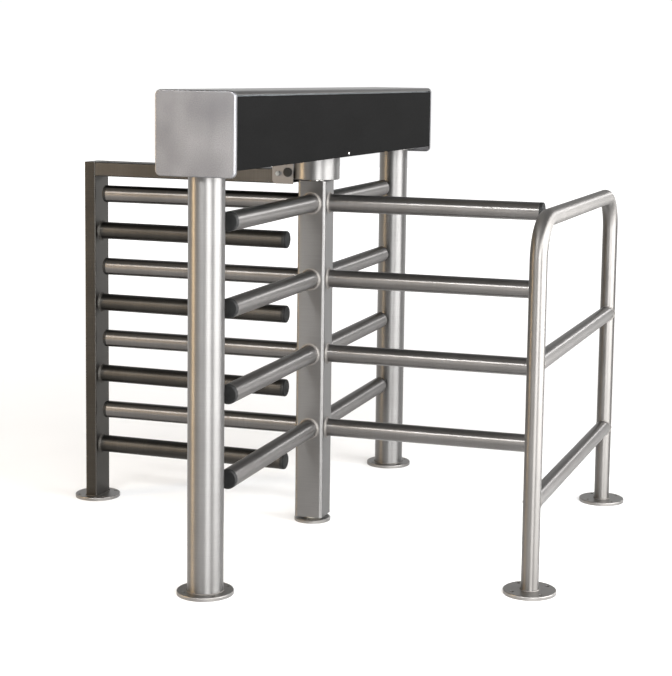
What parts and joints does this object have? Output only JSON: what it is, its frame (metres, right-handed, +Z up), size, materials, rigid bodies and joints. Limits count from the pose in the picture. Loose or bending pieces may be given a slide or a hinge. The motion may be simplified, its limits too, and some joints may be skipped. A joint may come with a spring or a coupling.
{
  "type": "waist-high turnstile",
  "caption": "Waist-high rotor turnstile: winged rotor on a square column under an overhead head on two posts, with a comb barrier on one side and a hooped guard rail on the other.",
  "frame": {"origin": "on the floor at the rotor's axis, at the centre of the floor pivot plate's bolt circle", "axes": "+X towards the guard rail, +Y along the head to the post away from the viewer, +Z up along the rotor's axis"},
  "size_m": [1.3335, 1.334, 1.05],
  "materials": {
    "satin_stainless": "satin brushed stainless steel",
    "bright_steel": "ground bright steel",
    "zinc_plated_steel": "dull zinc plate",
    "black_painted_steel": "satin black powder coat",
    "black_nylon": "moulded black nylon",
    "white_nylon": "natural white nylon"
  },
  "bodies": {
    "frame": {"pivot_plate": "satin_stainless", "pivot_pin": "bright_steel", "near_post": "satin_stainless", "far_post": "satin_stainless", "post_flanges": "satin_stainless", "post_top_plates": "satin_stainless", "post_bolts": "zinc_plated_steel", "head_base": "zinc_plated_steel", "bearing_collar": "satin_stainless", "bearings": "bright_steel", "bearing_covers": "zinc_plated_steel", "collar_screws": "zinc_plated_steel", "shell": "satin_stainless", "shell_rails": "zinc_plated_steel", "bulkheads": "zinc_plated_steel", "end_covers": "satin_stainless", "cover_nuts": "zinc_plated_steel", "fixed_panel": "black_painted_steel", "hinge_leaves_fixed": "zinc_plated_steel", "hinge_pins": "bright_steel", "comb_post": "satin_stainless", "comb_beam": "satin_stainless", "comb_bars": "satin_stainless", "comb_caps": "black_nylon", "comb_flange": "satin_stainless", "beam_hanger": "satin_stainless", "hanger_bolts": "zinc_plated_steel", "hanger_plugs": "black_nylon", "guard_rail": "satin_stainless", "rail_bars": "satin_stainless", "rail_flanges": "satin_stainless", "pawl_pins": "bright_steel", "pawl_springs": "bright_steel", "solenoid_frames": "zinc_plated_steel", "solenoid_coils": "black_nylon", "damper_bridge": "zinc_plated_steel", "damper": "black_nylon", "control_box": "black_nylon"},
    "rotor": {"column": "satin_stainless", "column_plugs": "zinc_plated_steel", "pivot_bush": "white_nylon", "rotor_shaft": "bright_steel", "shaft_key": "zinc_plated_steel", "shaft_nut": "zinc_plated_steel", "wing_right": "satin_stainless", "wing_back": "satin_stainless", "wing_left": "satin_stainless", "wing_front": "satin_stainless", "arm_caps": "black_nylon", "entry_lock_wheel": "zinc_plated_steel", "exit_lock_wheel": "zinc_plated_steel", "rotor_gear": "zinc_plated_steel"},
    "damper_rotor": {"damper_pinion": "bright_steel"},
    "entry_pawl": {"entry_pawl": "zinc_plated_steel"},
    "exit_pawl": {"exit_pawl": "zinc_plated_steel"},
    "entry_plunger": {"entry_plunger": "bright_steel"},
    "exit_plunger": {"exit_plunger": "bright_steel"},
    "side_flap": {"side_flap": "black_painted_steel", "hinge_leaves_moving": "zinc_plated_steel", "flap_screw": "bright_steel"}
  },
  "joints": [
    {"name": "rotor_spin", "type": "hinge", "parent": "frame", "child": "rotor", "pos_m": [0, 0, 0], "axis": [0, 0, 1], "continuous": true},
    {"name": "damper_spin", "type": "hinge", "parent": "frame", "child": "damper_rotor", "pos_m": [0, 0.0841, 0.946], "axis": [0, 0, 1], "continuous": true},
    {"name": "entry_pawl_swing", "type": "hinge", "parent": "frame", "child": "entry_pawl", "pos_m": [-0.055, -0.086, 0.92], "axis": [0, 0, 1], "range_deg": [0, 12], "stiffness_Nm_per_rad": 0.4},
    {"name": "exit_pawl_swing", "type": "hinge", "parent": "frame", "child": "exit_pawl", "pos_m": [0.055, 0.086, 0.932], "axis": [0, 0, 1], "range_deg": [0, 12], "stiffness_Nm_per_rad": 0.4},
    {"name": "entry_plunger_slide", "type": "slide", "parent": "frame", "child": "entry_plunger", "axis": [0, 1, 0], "range_m": [0, 0.00658]},
    {"name": "exit_plunger_slide", "type": "slide", "parent": "frame", "child": "exit_plunger", "axis": [0, -1, 0], "range_m": [0, 0.00658]},
    {"name": "flap_swing", "type": "hinge", "parent": "frame", "child": "side_flap", "pos_m": [0.078, 0, 1.0376], "axis": [0, -1, 0], "range_deg": [0, 90]}
  ],
  "couplings": [
    {"joint": "damper_spin", "follows": "rotor_spin", "ratio": -3.6667},
    {"joint": "entry_plunger_slide", "follows": "entry_pawl_swing", "m_per_rad": 0.031407},
    {"joint": "exit_plunger_slide", "follows": "exit_pawl_swing", "m_per_rad": 0.031407}
  ]
}
